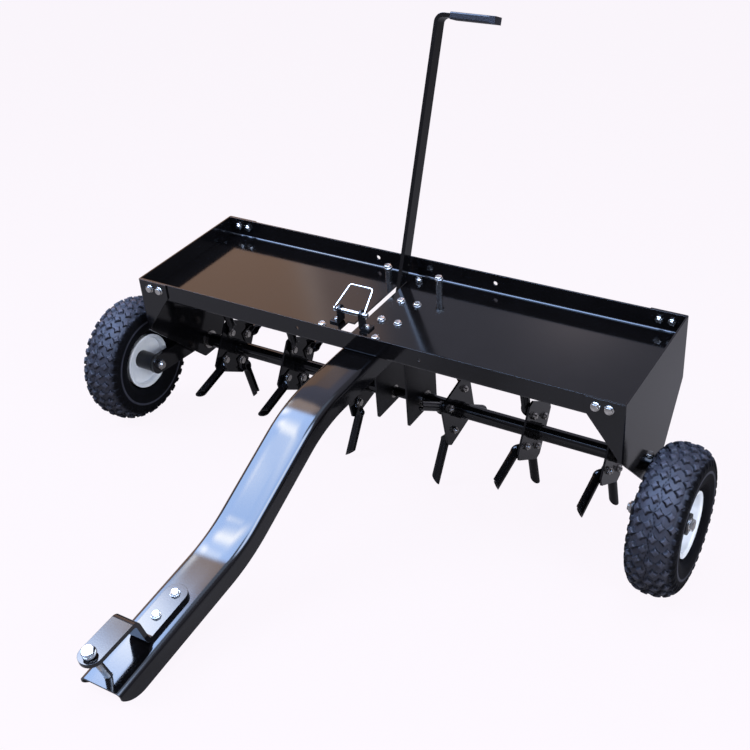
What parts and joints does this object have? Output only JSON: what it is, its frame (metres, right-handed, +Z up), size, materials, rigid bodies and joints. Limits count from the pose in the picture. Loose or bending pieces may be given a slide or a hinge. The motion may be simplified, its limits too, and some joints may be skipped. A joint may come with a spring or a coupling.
{
  "type": "tow behind plug aerator",
  "caption": "Tow behind lawn aerator: black weight tray over spoon stars on an axle, curved tongue with hitch pin, and a lever that swings two tyred wheels down.",
  "frame": {"origin": "on the floor under the middle of the machine's length and width, with the tyres and the tongue's nose standing on the floor", "axes": "+X to the right seen from the front, +Y to the rear, +Z up"},
  "size_m": [1.2746, 1.0885, 0.8791],
  "materials": {
    "black_paint": "gloss powder coat",
    "zinc": "bright zinc plate",
    "tyre_rubber": "matt",
    "valve_rubber": "matt",
    "rim_paint": "gloss white",
    "grip_plastic": "satin"
  },
  "bodies": {
    "frame": {"tray": "black_paint", "end_panel_left": "black_paint", "end_panel_right": "black_paint", "corner_bolts": "zinc", "tongue": "black_paint", "hanger": "black_paint", "hanger_bolts": "zinc", "tray_bolts": "zinc", "posts": "zinc", "axle_bushes": "zinc", "lock_ears": "black_paint", "lock_pin": "zinc", "hitch_strap": "black_paint", "strap_bolts": "zinc"},
    "lift": {"shaft": "black_paint", "spacers": "black_paint", "lever": "black_paint", "grip": "grip_plastic", "crank_left": "black_paint", "crank_right": "black_paint", "clamp_bolts": "zinc", "lever_pin": "zinc", "wheel_bolt_left": "zinc", "wheel_bolt_right": "zinc"},
    "wheel_left": {"tyre_left": "tyre_rubber", "rim_left": "rim_paint", "hub_left": "black_paint", "valve_left": "valve_rubber"},
    "wheel_right": {"tyre_right": "tyre_rubber", "rim_right": "rim_paint", "hub_right": "black_paint", "valve_right": "valve_rubber"},
    "star_1": {"spoon_plate_1": "black_paint", "spoons_1": "black_paint", "spoon_bolts_1": "zinc"},
    "star_2": {"spoon_plate_2": "black_paint", "spoons_2": "black_paint", "spoon_bolts_2": "zinc"},
    "star_3": {"spoon_plate_3": "black_paint", "spoons_3": "black_paint", "spoon_bolts_3": "zinc"},
    "star_4": {"spoon_plate_4": "black_paint", "spoons_4": "black_paint", "spoon_bolts_4": "zinc"},
    "star_5": {"spoon_plate_5": "black_paint", "spoons_5": "black_paint", "spoon_bolts_5": "zinc"},
    "star_6": {"spoon_plate_6": "black_paint", "spoons_6": "black_paint", "spoon_bolts_6": "zinc"},
    "lock_bail": {"lock_bail": "zinc"},
    "hitch_pin": {"hitch_pin": "zinc"}
  },
  "joints": [
    {"name": "lift_turn", "type": "hinge", "parent": "frame", "child": "lift", "pos_m": [0, 0.38361, 0.14851], "axis": [1, 0, 0], "range_deg": [0, 30]},
    {"name": "wheel_left_spin", "type": "hinge", "parent": "lift", "child": "wheel_left", "pos_m": [-0.5932, 0.23783, 0.134], "axis": [1, 0, 0], "continuous": true},
    {"name": "wheel_right_spin", "type": "hinge", "parent": "lift", "child": "wheel_right", "pos_m": [0.5932, 0.23783, 0.134], "axis": [1, 0, 0], "continuous": true},
    {"name": "star_1_spin", "type": "hinge", "parent": "lift", "child": "star_1", "pos_m": [0, 0.38361, 0.14851], "axis": [1, 0, 0], "continuous": true},
    {"name": "star_2_spin", "type": "hinge", "parent": "lift", "child": "star_2", "pos_m": [0, 0.38361, 0.14851], "axis": [1, 0, 0], "continuous": true},
    {"name": "star_3_spin", "type": "hinge", "parent": "lift", "child": "star_3", "pos_m": [0, 0.38361, 0.14851], "axis": [1, 0, 0], "continuous": true},
    {"name": "star_4_spin", "type": "hinge", "parent": "lift", "child": "star_4", "pos_m": [0, 0.38361, 0.14851], "axis": [1, 0, 0], "continuous": true},
    {"name": "star_5_spin", "type": "hinge", "parent": "lift", "child": "star_5", "pos_m": [0, 0.38361, 0.14851], "axis": [1, 0, 0], "continuous": true},
    {"name": "star_6_spin", "type": "hinge", "parent": "lift", "child": "star_6", "pos_m": [0, 0.38361, 0.14851], "axis": [1, 0, 0], "continuous": true},
    {"name": "bail_swing", "type": "hinge", "parent": "frame", "child": "lock_bail", "pos_m": [-0.092, 0.24802, 0.35583], "axis": [0, -0.724, 0.6898], "range_deg": [0, 100]},
    {"name": "hitch_pin_draw", "type": "slide", "parent": "frame", "child": "hitch_pin", "axis": [0, -0.4758, 0.8795], "range_m": [0, 0.075]}
  ]
}
